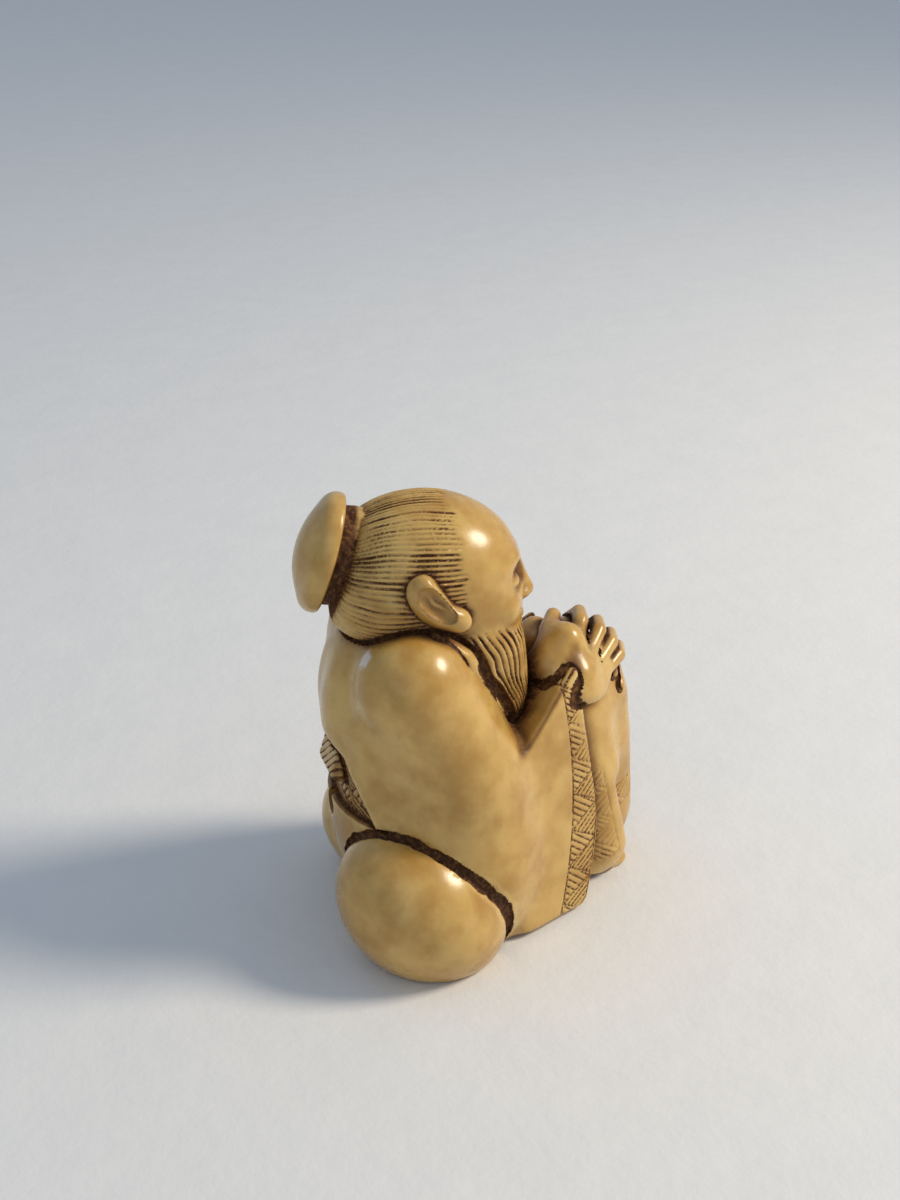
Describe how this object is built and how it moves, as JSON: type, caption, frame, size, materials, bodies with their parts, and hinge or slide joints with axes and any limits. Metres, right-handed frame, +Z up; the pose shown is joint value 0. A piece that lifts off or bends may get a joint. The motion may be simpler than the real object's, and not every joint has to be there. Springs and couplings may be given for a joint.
{
  "type": "netsuke",
  "caption": "Netsuke toggle carved as a seated bearded sage in a robe, one knee raised and both hands laid on it, with a cord tunnel under the sash.",
  "frame": {"origin": "centre of the bounding box at its lowest level, on the flat underside", "axes": "+Z up, -Y the way the figure's body faces, +X the figure's left"},
  "size_m": [0.0278, 0.0332, 0.0407],
  "materials": {
    "ivory": "polished warm cream-yellow, brown stain in the cut lines, semi-gloss"
  },
  "bodies": {
    "root": {"seated_sage": "ivory"}
  },
  "joints": []
}
